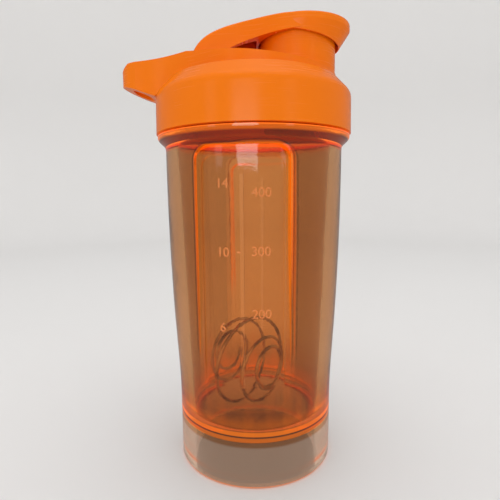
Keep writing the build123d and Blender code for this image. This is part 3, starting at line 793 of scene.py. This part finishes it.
class SHAKER_OT_stage(bpy.types.Operator):
    """Sets up the round pale stage, the soft lights and the camera"""
    bl_idname = "shaker.stage"
    bl_label = "Stage"

    def execute(self, context):
        looks = context.scene.shaker_stage
        scene = context.scene
        scene.view_settings.view_transform = "Standard"
        # round floor that curves up into a wall all round
        flat = BOWL_REACH - BOWL_BEND
        profile = [(0.0, 0.0), (BOWL_FLAT, 0.0), (flat, 0.0)]
        for step in range(1, BEND_STEPS + 1):
            lean = radians(step * 90 / BEND_STEPS)
            profile.append((flat + BOWL_BEND * sin(lean), BOWL_BEND - BOWL_BEND * cos(lean)))
        profile.append((BOWL_REACH, BOWL_WALL))
        shape = bmesh.new()
        outline = [shape.verts.new((radius, 0, height)) for radius, height in profile]
        edges = [shape.edges.new(pair) for pair in zip(outline, outline[1:])]
        bmesh.ops.spin(shape, geom=outline + edges, cent=(0, 0, 0), axis=(0, 0, 1), angle=2 * pi,
                       steps=BOWL_SIDES)
        bmesh.ops.remove_doubles(shape, verts=shape.verts, dist=1e-5)
        bmesh.ops.recalc_face_normals(shape, faces=shape.faces)
        if next(face for face in shape.faces if face.calc_center_median().length < BOWL_FLAT).normal.z < 0:
            bmesh.ops.reverse_faces(shape, faces=shape.faces)
        for face in shape.faces:
            face.smooth = True
        mesh = bpy.data.meshes.new("backdrop")
        shape.to_mesh(mesh)
        shape.free()
        mesh.materials.append(stage_paint(tuple(looks.floor)))
        backdrop = link(bpy.data.objects.new("backdrop", mesh))
        backdrop.visible_glossy = False

        world = bpy.data.worlds.new("sky")
        scene.world = world
        world.use_nodes = True
        tree = world.node_tree
        background = tree.nodes["Background"].inputs
        background["Color"].default_value = (1.0, 1.0, 1.0, 1.0)
        # gloss mirrors a dimmer room, so that the soft boxes stand out in it
        gloss = add(tree, "ShaderNodeLightPath").outputs["Is Glossy Ray"]
        feed(tree, calc(tree, "MULTIPLY_ADD", gloss, -GLOSS_DIMMING * looks.sky, looks.sky),
             background["Strength"])
        for name, azimuth, height, away, size, share in SOFT_BOXES:
            lamp = bpy.data.lights.new(name, "AREA")
            lamp.shape = "RECTANGLE"
            lamp.size, lamp.size_y = size
            lamp.energy = looks.front_light * share
            holder = link(bpy.data.objects.new(name, lamp))
            turn = radians(azimuth)
            spot = Vector((away * sin(turn), -away * cos(turn), height))
            aim = Vector((0, 0, AIM_HEIGHT)) - spot
            facing = aim.to_track_quat("-Z", "Y").to_matrix().to_4x4()
            holder.matrix_world = Matrix.Translation(spot) @ facing
            holder.visible_camera = False
            holder.visible_transmission = name == "top_box"

        eye = bpy.data.cameras.new("camera")
        eye.lens = CAMERA_LENS
        eye.sensor_width = CAMERA_SENSOR
        eye.clip_start = 0.01
        stand = link(bpy.data.objects.new("camera", eye))
        tilt = Matrix.Rotation(radians(90 - CAMERA_DOWN), 4, "X")
        roll = Matrix.Rotation(radians(CAMERA_ROLL), 4, "Z")
        stand.matrix_world = Matrix.Translation(CAMERA_PLACE) @ tilt @ roll
        scene.camera = stand
        return {"FINISHED"}


OPERATORS = (SHAKER_OT_groups, SHAKER_OT_cup, SHAKER_OT_lid, SHAKER_OT_seals, SHAKER_OT_whisk,
             SHAKER_OT_scale, SHAKER_OT_stage)
SIZES = {"shaker_cup": ShakerCup, "shaker_lid": ShakerLid, "shaker_whisk": ShakerWhisk,
         "shaker_scale": ShakerScale, "shaker_stage": ShakerStage}


class SHAKER_PT_looks(bpy.types.Panel):
    """Lists the operators and the sizes and colours they use"""
    bl_idname = "SHAKER_PT_looks"
    bl_label = "Shaker Bottle"
    bl_space_type = "VIEW_3D"
    bl_region_type = "UI"
    bl_category = "Shaker"

    def draw(self, context):
        for operator in OPERATORS:
            self.layout.operator(operator.bl_idname)
        for name, group in SIZES.items():
            box = self.layout.box()
            box.label(text=name.replace("shaker_", "").title())
            for value in group.__annotations__:
                box.prop(getattr(context.scene, name), value)


def register():
    for made in (*SIZES.values(), *OPERATORS, SHAKER_PT_looks):
        bpy.utils.register_class(made)
    for name, group in SIZES.items():
        setattr(bpy.types.Scene, name, PointerProperty(type=group))


def unregister():
    for name in SIZES:
        delattr(bpy.types.Scene, name)
    for made in reversed((*SIZES.values(), *OPERATORS, SHAKER_PT_looks)):
        bpy.utils.unregister_class(made)


def main():
    register()
    bpy.ops.shaker.groups()
    bpy.ops.shaker.cup()
    bpy.ops.shaker.lid()
    bpy.ops.shaker.seals()
    bpy.ops.shaker.whisk()
    bpy.ops.shaker.scale()
    bpy.ops.shaker.stage()


if __name__ == "__main__":
    main()
